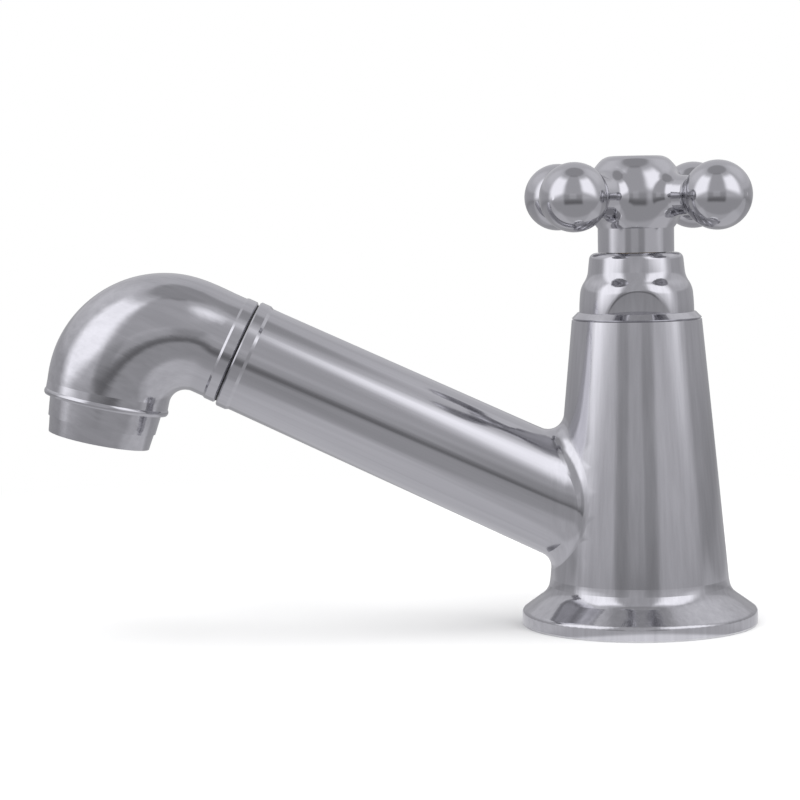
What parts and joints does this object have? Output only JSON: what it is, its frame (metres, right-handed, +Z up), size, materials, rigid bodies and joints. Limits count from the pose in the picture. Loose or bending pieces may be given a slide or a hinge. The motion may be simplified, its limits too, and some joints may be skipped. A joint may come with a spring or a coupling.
{
  "type": "deck-mounted pillar tap",
  "caption": "Deck-mounted pillar tap with a tapered flared column, a sloping arm with a downturned elbow outlet, and a turning cross handle with ball ends.",
  "frame": {"origin": "centre of the foot's underside, on the deck that the tap stands on", "axes": "+Z up along the column and the handle's axis; the spout points along -X; +Y to the rear as seen with the spout on the left"},
  "size_m": [0.1584, 0.0526, 0.1492],
  "materials": {
    "chrome": "polished chrome plate on brass",
    "brass": "machined",
    "rubber": "matt black",
    "steel": "stainless",
    "ceramic": "lapped ceramic",
    "plastic": "moulded",
    "fibre": "pressed fibre",
    "ptfe": "smooth"
  },
  "bodies": {
    "tap_body": {"body_casting": "chrome", "deck_gasket": "rubber", "inlet_tail": "brass", "riser_tube": "brass", "riser_washer": "fibre", "back_washer": "rubber", "clamp_washer": "steel", "back_nut": "brass", "headwork_body": "brass", "headwork_washer": "fibre", "seat_seal": "rubber", "lower_disc": "ceramic", "thrust_ring": "ptfe", "bonnet_dome": "chrome", "spout_elbow": "chrome", "elbow_o_rings": "rubber", "seam_washer": "rubber", "aerator_housing": "chrome", "aerator_washer": "rubber", "aerator_insert": "plastic", "aerator_screen": "steel"},
    "handle": {"cross_handle": "chrome", "index_button": "chrome", "handle_screw": "steel", "spline_insert": "brass", "spindle": "brass", "spindle_o_rings": "rubber", "retaining_clip": "steel", "upper_disc": "ceramic"}
  },
  "joints": [
    {"name": "handle_turn", "type": "hinge", "parent": "tap_body", "child": "handle", "pos_m": [0, 0, 0.09], "axis": [0, 0, 1], "range_deg": [0, 90]}
  ]
}
